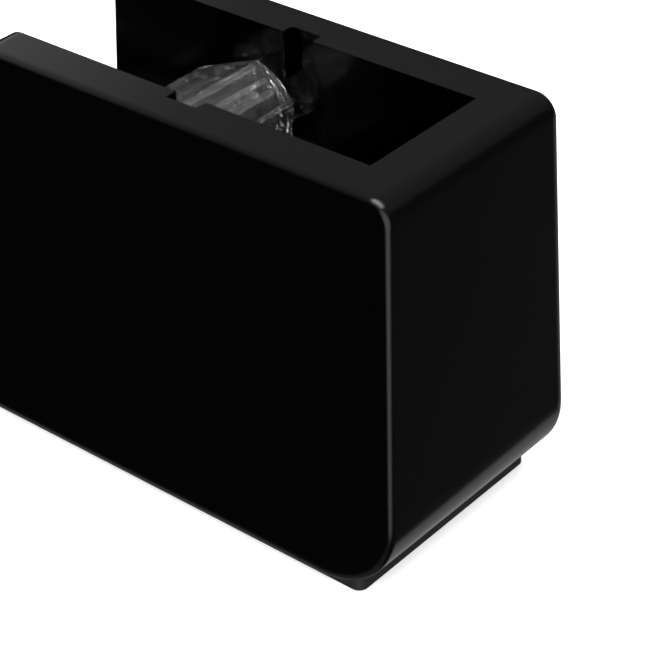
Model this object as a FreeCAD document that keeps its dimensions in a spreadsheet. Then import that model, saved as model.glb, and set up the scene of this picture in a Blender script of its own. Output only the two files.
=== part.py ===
import FreeCAD, Part
import math
import os
import re
import Sketcher

# Desk tape dispenser with a drawer in its base. Millimetres, +Z up, the front faces -Y and
# +X is the right-hand side seen from the front. The origin is the middle of the footprint.
#
# Places in the housing are given as a setback, counted forward from its rear face, and a
# height, counted up from its lower edge.

sizes = {
    # Housing: one black moulding, open underneath, with upright ends and drafted sides.
    "body_length": 156,
    "body_width": 50,
    "body_height": 77.9,
    "side_draft": 2.3,
    "wall": 2.4,
    "rear_foot_radius": 15.8,
    "rear_top_radius": 4,
    "side_edge_radius": 0.8,
    # The two cheeks beside the tape, and the low deck in front of them.
    "cheek_length": 93.9,
    "cheek_lean": 6.1,
    "cheek_top_radius": 4.5,
    "deck_rear_height": 42,
    "deck_front_height": 46,
    "deck_fillet": 14,
    "nose_radius": 3,
    # The well that the roll turns in, and the channel that leads the tape to the blade.
    "well_width": 27,
    "rear_rim": 10.4,
    "well_wall": 4,
    "well_floor": 28,
    "well_floor_radius": 8,
    "floor_thickness": 2.6,
    "ramp_start": 73,
    "ramp_end": 95,
    "channel_floor": 41,
    "nose_lip": 4,
    # The blind slots that the hub drops into: straight down, then forward to a seat.
    "slot_width": 6.8,
    "slot_depth": 2.3,
    "slot_back": 9.4,
    "slot_rise": 5.5,
    "hub_setback": 58.5,
    "hub_depth": 16.9,
    # Hub, for a core of 25.4 mm.
    "hub_radius": 12.65,
    "hub_width": 19,
    "hub_turn": 21.5,
    "land_angle": 47,
    "land_thickness": 1.5,
    "flat_inset": 4.2,
    "hub_skin": 1.5,
    "hub_web": 1.2,
    "hub_tube_radius": 4.6,
    "hub_bore_radius": 3.05,
    "hub_bore_floor": 1.5,
    "axle_clearance": 0.1,
    "spigot_length": 12,
    "spigot_clearance": 0.05,
    "cap_disc_inset": 0.3,
    "cap_disc_thickness": 1.4,
    "end_gap": 0.3,
    # Base plate under the housing, and the non-slip pad let into it.
    "plinth_drop": 1.3,
    "plinth_inset": 1.3,
    "plinth_rear_setback": 7.9,
    "plinth_corner_radius": 1.8,
    "plug_height": 1.3,
    "plug_gap": 0.4,
    "opening_margin": 2,
    "pad_proud": 0.3,
    "pad_recess": 0.7,
    "pad_margin": 2,
    "pad_gap": 0.3,
    "pad_corner_radius": 3,
    "hook_length": 2.4,
    "hook_thickness": 1.3,
    "hook_height": 4,
    "hook_barb": 0.5,
    "hook_barb_height": 1.3,
    "hook_play": 0.3,
    # Screws and the bosses that they hold in.
    "boss_radius": 3,
    "boss_rear_setback": 22,
    "boss_front_setback": 68.5,
    "screw_radius": 1.15,
    "screw_play": 0.05,
    "screw_head_radius": 2.1,
    "screw_head_height": 1.1,
    "screw_length": 9,
    "pilot_spare": 1,
    "cross_width": 0.5,
    "cross_length": 2.4,
    "cross_depth": 0.7,
    # Ballast.
    "ballast_end_gap": 2,
    "ballast_side_gap": 2.4,
    "ballast_top_gap": 0.6,
    "ballast_bevel_size": 1,
    "ballast_screw_spacing": 18,
    # Blade, the carrier under it, and the ribbed rest behind it.
    "fit_gap": 0.2,
    "carrier_length": 13.4,
    "carrier_rear_height": 3,
    "carrier_step": 2,
    "carrier_step_height": 4,
    "blade_slope": 25,
    "carrier_screw_inset": 5,
    "carrier_screw_setback": 6.5,
    "carrier_screw_length": 6,
    "blade_thickness": 0.6,
    "blade_side_gap": 0.5,
    "blade_length": 14.2,
    "blade_start": 0.8,
    "tooth_pitch": 1.3,
    "tooth_depth": 1.1,
    "rivet_inset": 4,
    "rivet_setback": 6,
    "rivet_head_radius": 1.7,
    "rivet_head_height": 0.8,
    "rivet_radius": 0.9,
    "rivet_length": 3,
    "rest_gap": 6.4,
    "rest_length": 11,
    "rest_height": 7.7,
    "rest_edge_radius": 1.2,
    "ridge_count": 7,
    "ridge_margin": 2.7,
    "ridge_width": 1.1,
    "ridge_height": 0.8,
    "peg_radius": 1.5,
    "peg_play": 0.05,
    "peg_inset": 5.5,
    # Drawer and the runners beside it.
    "drawer_travel": 55,
    "drawer_play": 0.4,
    "front_jamb": 4.5,
    "lintel_drop": 1.8,
    "fascia_thickness": 3,
    "tray_rear_gap": 2.5,
    "tray_top_gap": 1.9,
    "tray_wall": 1.8,
    "tray_corner_radius": 2,
    "notch_width": 24,
    "notch_depth": 7,
    "notch_radius": 3,
    "tab_length": 2,
    "tab_stop_gap": 0.3,
    "tab_roof_gap": 0.5,
    "runner_play": 0.3,
    "runner_height": 2,
    "runner_base": 4.8,
    "runner_reach": 1.5,
    "runner_front_gap": 3,
    "rail_gap": 0.4,
    "rail_width": 4,
    "rail_height": 8,
    "rail_side_gap": 0.9,
    "rail_rear_gap": 10,
    "rail_front_gap": 6,
    "rail_groove_depth": 2,
    "rail_screw_inset": 8,
    "screw_tip_gap": 0.5,
    "divider_thickness": 1.5,
    "divider_height": 16,
    "divider_play": 0.3,
    "divider_corner_radius": 3,
    "guide_width": 1.2,
    "guide_reach": 1,
    "fascia_screw_side_gap": 0.9,
    "fascia_screw_height": 6,
    "fascia_screw_length": 4,
}

doc = FreeCAD.newDocument("tape_dispenser")
sheet = doc.addObject("Spreadsheet::Sheet", "size")
for row, (alias, number) in enumerate(sizes.items(), start=1):
    sheet.set(f"A{row}", alias)
    sheet.set(f"B{row}", str(number))
    sheet.setAlias(f"B{row}", alias)
doc.recompute()

# Places and lengths that several pieces share, worked out from the sizes.
derived = {
    "half_length": "body_length / 2",
    "half_width": "body_width / 2",
    "inner_half": "half_width - wall",
    "sill": "plinth_drop + pad_proud",
    "roof": "well_floor - floor_thickness",
    "cheek_foot": "cheek_length + (body_height - deck_rear_height) * tan(cheek_lean)",
    "channel_front": "body_length - nose_lip",
    "channel_underside": "channel_floor - floor_thickness",
    "hub_height": "body_height - hub_depth",
    "slot_setback": "hub_setback - slot_back",
    "slot_knee": "hub_height + slot_rise",
    "slot_slant": "atan(slot_rise / slot_back)",
    "slot_span": "well_width + 2 * slot_depth",
    "hub_reach": "well_width / 2 + slot_depth - end_gap",
    "hub_shoulder": "well_width / 2 - end_gap",
    "hub_flat": "hub_radius - flat_inset",
    "axle_radius": "slot_width / 2 - axle_clearance",
    "hole_radius": "screw_radius + screw_play",
    "pad_top": "pad_recess - plinth_drop",
    "plug_half": "inner_half - plug_gap",
    "plug_front": "body_length - fascia_thickness - plug_gap",
    "plug_rear": "rear_foot_radius + opening_margin + plug_gap",
    "boss_across": "(well_width + well_wall) / 2",
    "ballast_rear": "boss_rear_setback + boss_radius + ballast_end_gap",
    "ballast_front": "boss_front_setback - boss_radius - ballast_end_gap",
    "ballast_length": "ballast_front - ballast_rear",
    "ballast_half": "inner_half - ballast_side_gap",
    "carrier_setback": "channel_front - fit_gap - carrier_length",
    "carrier_front_height": "carrier_step_height + (carrier_length - carrier_step) * tan(blade_slope)",
    "carrier_screw_across": "well_width / 2 - carrier_screw_inset",
    "blade_half": "well_width / 2 - blade_side_gap",
    "blade_front": "blade_start + blade_length",
    "rivet_across": "blade_half - rivet_inset",
    "rest_setback": "carrier_setback - rest_gap - rest_length",
    "peg_across": "well_width / 2 - peg_inset",
    "ridge_run": "well_width - 2 * ridge_margin",
    "opening_half": "half_width - front_jamb",
    "opening_height": "roof - lintel_drop",
    "tray_half": "inner_half - rail_side_gap - rail_width - rail_gap",
    "tray_inner_half": "tray_half - tray_wall",
    "tray_rear": "boss_front_setback + boss_radius + tray_rear_gap",
    "tray_front": "body_length - fascia_thickness",
    "tray_length": "tray_front - tray_rear",
    "tray_base": "plug_height + drawer_play",
    "tray_height": "opening_height - tray_top_gap - tray_base",
    "notch_foot": "opening_height - drawer_play - notch_depth",
    "fascia_screw_across": "tray_inner_half - fascia_screw_side_gap - screw_head_radius",
    "rail_near": "tray_half + rail_gap",
    "rail_rear": "tray_rear + rail_rear_gap",
    "rail_front": "body_length - rail_front_gap",
    "rail_length": "rail_front - rail_rear",
    "groove_low": "runner_base - runner_play",
    "groove_high": "runner_base + runner_height + runner_play",
    "rail_screw_length": "groove_low - screw_tip_gap - pad_top",
    "divider_middle": "tray_length / 2",
}


def cells(text):
    """Turn the names of sizes in a formula into references to their cells."""
    def reference(word):
        name = word.group()
        if name in derived:
            return f"({cells(derived[name])})"
        return f"size.{name}" if name in sizes else name

    return re.sub("[a-z_]+", reference, text)


def value(text):
    return float(sheet.evalExpression(cells(text)))


def bind(thing, setting, text):
    thing.setExpression(setting, cells(text))


def shift(thing, x, y, z):
    """Put a shape at a place in its own piece."""
    bind(thing, "Placement.Base.x", x)
    bind(thing, "Placement.Base.y", y)
    bind(thing, "Placement.Base.z", z)


def place(thing, across, setback, height):
    """Put a piece at a place in the housing."""
    shift(thing, across, f"half_length - ({setback})", f"sill + ({height})")


def both_sides(across):
    return (("left", f"-({across})"), ("right", across))


# Sketches, pads and pockets

def new_body(name):
    return doc.addObject("PartDesign::Body", name)


def origin_part(body, role):
    return [part for part in body.Origin.OriginFeatures if part.Role == role][0]


def new_sketch(body, name, role, lift="0"):
    sketch = body.newObject("Sketcher::SketchObject", name)
    sketch.AttachmentSupport = (origin_part(body, role), [""])
    sketch.MapMode = "FlatFace"
    bind(sketch, "AttachmentOffset.Base.z", lift)
    return sketch


def fix_point(sketch, edge, end, across, up):
    for kind, text in (("DistanceX", across), ("DistanceY", up)):
        number = sketch.addConstraint(Sketcher.Constraint(kind, -1, 1, edge, end, value(text)))
        bind(sketch, f"Constraints[{number}]", text)


def outline(body, name, role, corners, lift="0"):
    """A closed outline with straight sides, from a formula pair for each corner."""
    sketch = new_sketch(body, name, role, lift)
    spots = [FreeCAD.Vector(value(across), value(up), 0) for across, up in corners]
    for number, spot in enumerate(spots):
        sketch.addGeometry(Part.LineSegment(spot, spots[(number + 1) % len(spots)]), False)
    for number in range(len(spots)):
        following = (number + 1) % len(spots)
        sketch.addConstraint(Sketcher.Constraint("Coincident", number, 2, following, 1))
    for number, (across, up) in enumerate(corners):
        fix_point(sketch, number, 1, across, up)
    return sketch


def side_outline(body, name, corners):
    """An outline seen from the side, from a setback and a height for each corner."""
    return outline(body, name, "YZ_Plane", [(f"-({setback})", height) for setback, height in corners])


def rectangle(body, name, role, left, right, low, high, lift="0"):
    return outline(body, name, role, [(left, low), (right, low), (right, high), (left, high)], lift)


def ring(body, name, role, across, up, radius):
    sketch = new_sketch(body, name, role)
    centre = FreeCAD.Vector(value(across), value(up), 0)
    sketch.addGeometry(Part.Circle(centre, FreeCAD.Vector(0, 0, 1), value(radius)), False)
    fix_point(sketch, 0, 3, across, up)
    number = sketch.addConstraint(Sketcher.Constraint("Radius", 0, value(radius)))
    bind(sketch, f"Constraints[{number}]", radius)
    return sketch


def pad(body, name, sketch, length, direction="Symmetric"):
    """Direction is Symmetric, or Up along the sketch's normal."""
    feature = body.newObject("PartDesign::Pad", name)
    feature.Profile = sketch
    feature.Midplane = direction == "Symmetric"
    bind(feature, "Length", length)
    doc.recompute()
    return feature


def pocket(body, name, sketch, length, direction="Up"):
    """Direction is Symmetric, or Up along the sketch's normal."""
    before = body.Shape.Volume
    feature = body.newObject("PartDesign::Pocket", name)
    feature.Profile = sketch
    feature.Midplane = direction == "Symmetric"
    feature.Reversed = direction == "Up"
    bind(feature, "Length", length)
    doc.recompute()
    if body.Shape.Volume >= before:
        raise RuntimeError(f"{name} cuts nothing")
    return feature


def drill(body, name, role, across, up, radius, depth):
    """A round hole along the normal of one of the body's own planes."""
    pocket(body, name, ring(body, f"{name}_outline", role, across, up, radius), depth)


def repeat_across(body, name, feature, run, count):
    """Repeat a feature along X, over a run from the first copy to the last."""
    row = body.newObject("PartDesign::LinearPattern", name)
    row.Originals = [feature]
    row.Direction = (origin_part(body, "X_Axis"), [""])
    bind(row, "Length", run)
    bind(row, "Occurrences", count)
    body.Tip = row
    doc.recompute()


def straight_along(edge, axis):
    run = edge.Vertexes[-1].Point - edge.Vertexes[0].Point
    return run.Length > 1e-6 and abs(abs(run.dot(axis)) - run.Length) < 1e-6


def finish_edges(body, kind, name, wanted, amount):
    """Round or bevel the edges of the body's last feature that wanted picks."""
    shape = body.Shape
    edges = [f"Edge{number}" for number, edge in enumerate(shape.Edges, start=1) if wanted(edge)]
    if not edges:
        raise RuntimeError(f"{name} has no edges")
    last = body.Tip
    feature = body.newObject(f"PartDesign::{kind}", name)
    feature.Base = (last, edges)
    bind(feature, "Radius" if kind == "Fillet" else "Size", amount)
    doc.recompute()


def through(axis, spots):
    """Pick the straight edges along an axis whose middles lie at the given spots.

    A spot is a formula for each of the three coordinates, or None where any value will do.
    """
    targets = [[None if text is None else value(text) for text in spot] for spot in spots]

    def wanted(edge):
        middle = edge.CenterOfMass
        near = [all(goal is None or abs(part - goal) < 0.01 for part, goal in zip(middle, target))
                for target in targets]
        return straight_along(edge, axis) and any(near)

    return wanted


along_x = FreeCAD.Vector(1, 0, 0)
along_y = FreeCAD.Vector(0, 1, 0)
along_z = FreeCAD.Vector(0, 0, 1)


def cross_edge(setback, height):
    return through(along_x, [(None, f"-({setback})", height)])


def upright_edge(edge):
    return straight_along(edge, along_z)


# Primitives and booleans

def block(name, left, right, rear, front, low, high):
    """A box between two places across, two setbacks and two heights."""
    box = doc.addObject("Part::Box", name)
    bind(box, "Length", f"({right}) - ({left})")
    bind(box, "Width", f"({front}) - ({rear})")
    bind(box, "Height", f"({high}) - ({low})")
    shift(box, left, f"-({front})", low)
    return box


def block_pair(name, near, far, rear, front, low, high):
    """The same box on both sides of the middle."""
    return [
        block(f"{name}_left", f"-({far})", f"-({near})", rear, front, low, high),
        block(f"{name}_right", near, far, rear, front, low, high),
    ]


def cylinder(name, radius, length, x="0", y="0", z="0"):
    rod = doc.addObject("Part::Cylinder", name)
    bind(rod, "Radius", radius)
    bind(rod, "Height", length)
    shift(rod, x, y, z)
    return rod


def join(name, pieces):
    union = doc.addObject("Part::MultiFuse", name)
    union.Shapes = pieces
    union.Refine = True
    return union


def cut(name, base, tool):
    difference = doc.addObject("Part::Cut", name)
    difference.Base = base
    difference.Tool = tool
    difference.Refine = True
    return difference


def group(name, members):
    bunch = doc.addObject("Part::Compound", name)
    bunch.Links = members
    return bunch


# Housing

def draft_sides(body, name, skin):
    """Cut both sides of an upright pad back to the housing's draft, less a skin."""
    low = "-5"
    high = "body_height + 5"
    low_half = f"half_width - {skin} - ({low}) * tan(side_draft)"
    high_half = f"half_width - {skin} - ({high}) * tan(side_draft)"
    beyond = "body_width"
    for (side, low_across), (_, high_across), (_, outside) in zip(
            both_sides(low_half), both_sides(high_half), both_sides(beyond)):
        corners = [(low_across, low), (outside, low), (outside, high), (high_across, high)]
        sketch = outline(body, f"{name}_{side}_outline", "XZ_Plane", corners)
        pocket(body, f"{name}_{side}", sketch, "body_length * 3", "Symmetric")


def on_drafted_side(edge):
    span = edge.LastParameter - edge.FirstParameter
    spots = [edge.valueAt(edge.FirstParameter + share * span) for share in (0, 0.5, 1)]
    foot = value("half_width")
    slope = value("tan(side_draft)")
    return all(abs(abs(spot.x) - (foot - spot.z * slope)) < 0.001 for spot in spots)


def housing_outer():
    body = new_body("housing_outer")
    rear_foot = ("0", "0")
    rear_top = ("0", "body_height")
    cheek_top = ("cheek_length", "body_height")
    deck_root = ("cheek_foot", "deck_rear_height")
    nose = ("body_length", "deck_front_height")
    front_foot = ("body_length", "0")
    corners = [rear_foot, rear_top, cheek_top, deck_root, nose, front_foot]
    profile = side_outline(body, "housing_profile", corners)
    pad(body, "housing_pad", profile, "body_width + 2")
    draft_sides(body, "housing_draft", "0")
    rounds = (
        ("rear_foot_round", rear_foot, "rear_foot_radius"),
        ("rear_top_round", rear_top, "rear_top_radius"),
        ("cheek_top_round", cheek_top, "cheek_top_radius"),
        ("deck_root_round", deck_root, "deck_fillet"),
        ("nose_round", nose, "nose_radius"),
    )
    for name, corner, radius in rounds:
        finish_edges(body, "Fillet", name, cross_edge(*corner), radius)
    finish_edges(body, "Fillet", "side_edge_round", on_drafted_side, "side_edge_radius")
    return body


def housing_core():
    """The hollow inside the housing's skin, which leaves the tub around the well standing."""
    body = new_body("housing_core")
    rear_foot = ("wall", "wall")
    deck_root = ("cheek_foot - wall", "deck_rear_height - wall")
    mouth_rear = "rear_foot_radius + opening_margin"
    below = "-1"
    profile = side_outline(body, "core_profile", [
        rear_foot,
        ("wall", "body_height - wall"),
        ("cheek_length - wall", "body_height - wall"),
        deck_root,
        ("body_length - wall", "deck_front_height - wall"),
        ("body_length - wall", below),
        (mouth_rear, below),
        (mouth_rear, "wall"),
    ])
    pad(body, "core_pad", profile, "body_width")
    draft_sides(body, "core_draft", "wall")
    finish_edges(body, "Fillet", "core_foot_round", cross_edge(*rear_foot), "rear_foot_radius - wall")
    finish_edges(body, "Fillet", "core_deck_round", cross_edge(*deck_root), "deck_fillet + wall")
    above = "body_height + 5"
    beyond = "body_length + 5"
    tub = side_outline(body, "tub_profile", [
        ("rear_rim - well_wall", above),
        ("rear_rim - well_wall", "roof"),
        ("ramp_start + floor_thickness / 2", "roof"),
        ("ramp_end + floor_thickness / 2", "channel_underside"),
        (beyond, "channel_underside"),
        (beyond, above),
    ])
    pocket(body, "tub", tub, "well_width + 2 * well_wall", "Symmetric")
    return body


def housing_well():
    """The well and the channel in front of it, with the two slots for the hub's axle."""
    body = new_body("housing_well")
    above = "body_height + 5"
    rear_foot = ("rear_rim", "well_floor")
    profile = side_outline(body, "well_profile", [
        ("rear_rim", above),
        rear_foot,
        ("ramp_start", "well_floor"),
        ("ramp_end", "channel_floor"),
        ("channel_front", "channel_floor"),
        ("channel_front", above),
    ])
    pad(body, "well_pad", profile, "well_width")
    finish_edges(body, "Fillet", "well_foot_round", cross_edge(*rear_foot), "well_floor_radius")
    half_slot = "slot_width / 2"
    drop = side_outline(body, "slot_drop_outline", [
        (f"slot_setback - {half_slot}", above),
        (f"slot_setback - {half_slot}", "slot_knee"),
        (f"slot_setback + {half_slot}", "slot_knee"),
        (f"slot_setback + {half_slot}", above),
    ])
    pad(body, "slot_drop", drop, "slot_span")
    rise = f"{half_slot} * cos(slot_slant)"
    lean = f"{half_slot} * sin(slot_slant)"
    turn = side_outline(body, "slot_turn_outline", [
        (f"slot_setback + {lean}", f"slot_knee + {rise}"),
        (f"slot_setback - {lean}", f"slot_knee - {rise}"),
        (f"hub_setback - {lean}", f"hub_height - {rise}"),
        (f"hub_setback + {lean}", f"hub_height + {rise}"),
    ])
    pad(body, "slot_turn", turn, "slot_span")
    bend = ring(body, "slot_bend_outline", "YZ_Plane", "-slot_setback", "slot_knee", half_slot)
    pad(body, "slot_bend", bend, "slot_span")
    seat = ring(body, "slot_seat_outline", "YZ_Plane", "-hub_setback", "hub_height", half_slot)
    pad(body, "slot_seat", seat, "slot_span")
    return body


def boss_places():
    return [(f"{end}_{side}", across, setback)
            for side, across in both_sides("boss_across")
            for end, setback in (("rear", "boss_rear_setback"), ("front", "boss_front_setback"))]


def floor_hole(name, radius, across, setback):
    """A round hole through the floor of the channel."""
    return cylinder(name, radius, "floor_thickness + 2", across, f"-({setback})", "channel_underside - 1")


def housing():
    """The housing's shell, with its screw bosses and every hole through it."""
    solids = [cut("housing_shell", housing_outer(), housing_core())]
    holes = [housing_well()]
    for name, across, setback in boss_places():
        length = "roof + floor_thickness / 2 - plug_height"
        solids.append(cylinder(f"boss_{name}", "boss_radius", length, across, f"-{setback}", "plug_height"))
        depth = "screw_length + pilot_spare"
        holes.append(cylinder(f"pilot_{name}", "hole_radius", depth, across, f"-{setback}", "pad_top"))
    holes.append(block("drawer_opening", "-opening_half", "opening_half",
                       "body_length - wall - 1", "body_length + 1", "-1", "opening_height"))
    for side, across in both_sides("carrier_screw_across"):
        setback = "carrier_setback + carrier_screw_setback"
        holes.append(floor_hole(f"carrier_hole_{side}", "hole_radius", across, setback))
    for side, across in both_sides("peg_across"):
        setback = "rest_setback + rest_length / 2"
        holes.append(floor_hole(f"peg_hole_{side}", "peg_radius + peg_play", across, setback))
    holes += block_pair("hook_window", "plug_half - hook_thickness", "inner_half + hook_barb + hook_play",
                        "plug_front - hook_length - hook_play", "plug_front + hook_play",
                        "plug_height + hook_height - hook_barb_height - hook_play",
                        "plug_height + hook_height + hook_play")
    whole = cut("housing", join("housing_solids", solids), join("housing_holes", holes))
    place(whole, "0", "0", "0")
    return whole


# Fasteners

def turned(name, corners):
    """A body turned about its own Z axis, from a radius and a height for each corner."""
    body = new_body(name)
    sketch = outline(body, f"{name}_section", "XZ_Plane", corners)
    feature = body.newObject("PartDesign::Revolution", f"{name}_turn")
    feature.Profile = sketch
    feature.ReferenceAxis = (sketch, ["V_Axis"])
    feature.Angle = 360
    doc.recompute()
    return body


def screw(name, length, head="flat"):
    """A cross-head screw that points up, with the outer face of its head at height 0."""
    corners = [("0", "0"), ("screw_head_radius", "0")]
    if head == "pan":
        corners.append(("screw_head_radius", "screw_head_height"))
    corners += [
        ("screw_radius", "screw_head_height"),
        ("screw_radius", f"{length} - screw_radius"),
        ("0", length),
    ]
    body = turned(name, corners)
    long_half = "cross_length / 2"
    short_half = "cross_width / 2"
    for bar, across, up in (("one", long_half, short_half), ("two", short_half, long_half)):
        sketch = rectangle(body, f"{name}_{bar}_outline", "XY_Plane", f"-{across}", across, f"-{up}", up)
        pocket(body, f"{name}_{bar}", sketch, "cross_depth")
    return body


def screw_group(name, places, length):
    """Flat-head screws driven up through the base plate, at places across and setbacks."""
    screws = []
    for spot, across, setback in places:
        one = screw(f"{name}_{spot}", length)
        place(one, across, setback, "pad_top")
        screws.append(one)
    return group(name, screws)


def ballast_screw_places():
    middle = "(ballast_rear + ballast_length / 2)"
    return [
        ("rear", "0", f"{middle} - ballast_screw_spacing / 2"),
        ("front", "0", f"{middle} + ballast_screw_spacing / 2"),
    ]


def rail_screw_places():
    setbacks = (
        ("rear", "rail_rear + rail_screw_inset"),
        ("front", "rail_front - rail_screw_inset"),
    )
    return [(f"{end}_{side}", across, setback)
            for side, across in both_sides("rail_near + rail_width / 2")
            for end, setback in setbacks]


def carrier_screws():
    screws = []
    for side, across in both_sides("carrier_screw_across"):
        one = screw(f"carrier_screw_{side}", "carrier_screw_length", "pan")
        setback = "carrier_setback + carrier_screw_setback"
        place(one, across, setback, "channel_underside - screw_head_height")
        screws.append(one)
    return group("carrier_screws", screws)


def drawer_front_screws():
    screws = []
    for side, across in both_sides("fascia_screw_across"):
        one = screw(f"drawer_front_screw_{side}", "fascia_screw_length", "pan")
        one.Placement.Rotation = FreeCAD.Rotation(along_x, 90)
        place(one, across, "tray_front - tray_wall - screw_head_height", "tray_base + fascia_screw_height")
        screws.append(one)
    return group("drawer_front_screws", screws)


# Base plate, pad and ballast

def plinth_outline(body):
    """Side view of the rim under the housing, which follows the housing's rounded rear foot."""
    sketch = new_sketch(body, "plinth_profile", "YZ_Plane")
    radius = value("rear_foot_radius")
    corners = [
        ("-plinth_rear_setback", "-plinth_drop"),
        ("-(body_length - plinth_inset)", "-plinth_drop"),
        ("-(body_length - plinth_inset)", "0"),
        ("-rear_foot_radius", "0"),
    ]
    spots = [FreeCAD.Vector(value(across), value(up), 0) for across, up in corners]
    circle = Part.Circle(FreeCAD.Vector(-radius, radius, 0), along_z, radius)
    bottom = -math.pi / 2
    reach = math.asin(value("(rear_foot_radius - plinth_rear_setback) / rear_foot_radius"))
    foot = Part.ArcOfCircle(circle, bottom, bottom + reach)
    for first, last in zip(spots, spots[1:]):
        sketch.addGeometry(Part.LineSegment(first, last), False)
    sketch.addGeometry(foot, False)
    sketch.addGeometry(Part.LineSegment(foot.EndPoint, spots[0]), False)
    for edge in range(5):
        sketch.addConstraint(Sketcher.Constraint("Coincident", edge, 2, (edge + 1) % 5, 1))
    for edge, (across, up) in enumerate(corners):
        fix_point(sketch, edge, 1, across, up)
    fix_point(sketch, 3, 3, "-rear_foot_radius", "rear_foot_radius")
    sketch.addConstraint(Sketcher.Constraint("Vertical", 4))
    return sketch


def sunk_hole(name, across, setback):
    """A countersunk hole up through the base plate."""
    sink = doc.addObject("Part::Cone", f"{name}_sink")
    bind(sink, "Radius1", "screw_head_radius + screw_play")
    bind(sink, "Radius2", "hole_radius")
    bind(sink, "Height", "screw_head_height")
    shift(sink, across, f"-({setback})", "pad_top")
    length = "plug_height + plinth_drop + 2"
    shank = cylinder(f"{name}_shank", "hole_radius", length, across, f"-({setback})", "-plinth_drop - 1")
    return [sink, shank]


def base_plate():
    body = new_body("base_plate_sheet")
    pad(body, "plinth_pad", plinth_outline(body), "body_width - 2 * plinth_inset")
    finish_edges(body, "Fillet", "plinth_corner_round", upright_edge, "plinth_corner_radius")
    plug = rectangle(body, "plug_outline", "XY_Plane",
                     "-plug_half", "plug_half", "-plug_front", "-plug_rear")
    pad(body, "plug", plug, "plug_height", "Up")
    margin = "(plinth_inset + pad_margin)"
    recess = rectangle(body, "recess_outline", "XY_Plane",
                       f"-half_width + {margin}", f"half_width - {margin}",
                       f"-body_length + {margin}", "-plinth_rear_setback - pad_margin", "-plinth_drop")
    pocket(body, "recess", recess, "pad_recess")
    hook_top = "plug_height + hook_height"
    posts = block_pair("hook_post", "plug_half - hook_thickness", "plug_half",
                       "plug_front - hook_length", "plug_front", "0", hook_top)
    barbs = block_pair("hook_barb", "plug_half - hook_thickness", "inner_half + hook_barb",
                       "plug_front - hook_length", "plug_front", f"{hook_top} - hook_barb_height", hook_top)
    screws = {"base": boss_places(), "ballast": ballast_screw_places(), "rail": rail_screw_places()}
    holes = []
    for kind, places in screws.items():
        for spot, across, setback in places:
            holes += sunk_hole(f"{kind}_{spot}", across, setback)
    solid = join("base_plate_solids", [body] + posts + barbs)
    plate = cut("base_plate", solid, join("base_plate_holes", holes))
    place(plate, "0", "0", "0")
    return plate


def non_slip_pad():
    body = new_body("non_slip_pad")
    margin = "(plinth_inset + pad_margin + pad_gap)"
    sketch = rectangle(body, "pad_outline", "XY_Plane",
                       f"-half_width + {margin}", f"half_width - {margin}",
                       f"-body_length + {margin}", "-plinth_rear_setback - pad_margin - pad_gap")
    pad(body, "pad_sheet", sketch, "pad_recess + pad_proud", "Up")
    finish_edges(body, "Fillet", "pad_corner_round", upright_edge, "pad_corner_radius")
    place(body, "0", "0", "-sill")
    return body


def ballast_block():
    body = new_body("ballast_block")
    sketch = rectangle(body, "ballast_outline", "XY_Plane",
                       "-ballast_half", "ballast_half", "-ballast_length", "0")
    pad(body, "ballast_pad", sketch, "roof - ballast_top_gap - plug_height", "Up")
    finish_edges(body, "Chamfer", "ballast_bevel", upright_edge, "ballast_bevel_size")
    for end, sign in (("rear", "-"), ("front", "+")):
        setback = f"(ballast_length / 2 {sign} ballast_screw_spacing / 2)"
        drill(body, f"ballast_hole_{end}", "XY_Plane", "0", f"-{setback}", "hole_radius", "screw_length")
    place(body, "0", "ballast_rear", "plug_height")
    return body


# Cutter and tape rest

def lean_back(thing):
    """Tip a shape to the carrier's slope, which rises towards the front."""
    thing.Placement.Rotation = FreeCAD.Rotation(FreeCAD.Vector(-1, 0, 0), value("blade_slope"))
    bind(thing, "Placement.Rotation.Angle", "blade_slope")


def on_slope(setback, lift):
    """The setback and height, on the carrier, of a spot so far along its slope and off it."""
    forward = f"carrier_step + ({setback}) * cos(blade_slope) - ({lift}) * sin(blade_slope)"
    up = f"carrier_step_height + ({setback}) * sin(blade_slope) + ({lift}) * cos(blade_slope)"
    return forward, up


def lay_on_slope(thing, across, setback):
    lean_back(thing)
    forward, up = on_slope(setback, "0")
    place(thing, across, f"carrier_setback + {forward}", f"channel_floor + {up}")


def blade_carrier():
    body = new_body("blade_carrier_block")
    profile = side_outline(body, "carrier_profile", [
        ("0", "0"),
        ("0", "carrier_rear_height"),
        ("carrier_step", "carrier_step_height"),
        ("carrier_length", "carrier_front_height"),
        ("carrier_length", "0"),
    ])
    pad(body, "carrier_pad", profile, "well_width - 2 * fit_gap")
    holes = []
    for side, across in both_sides("carrier_screw_across"):
        depth = "carrier_screw_length - screw_head_height - floor_thickness + screw_tip_gap"
        holes.append(cylinder(f"carrier_pilot_{side}", "hole_radius", f"{depth} + 1",
                              across, "-carrier_screw_setback", "-1"))
    for side, across in both_sides("rivet_across"):
        hole = cylinder(f"rivet_hole_{side}", "rivet_radius + screw_play", "rivet_length + 1")
        lean_back(hole)
        forward, up = on_slope("rivet_setback", "-rivet_length")
        shift(hole, across, f"-({forward})", up)
        holes.append(hole)
    carrier = cut("blade_carrier", body, join("carrier_holes", holes))
    place(carrier, "0", "carrier_setback", "channel_floor")
    return carrier


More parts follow.
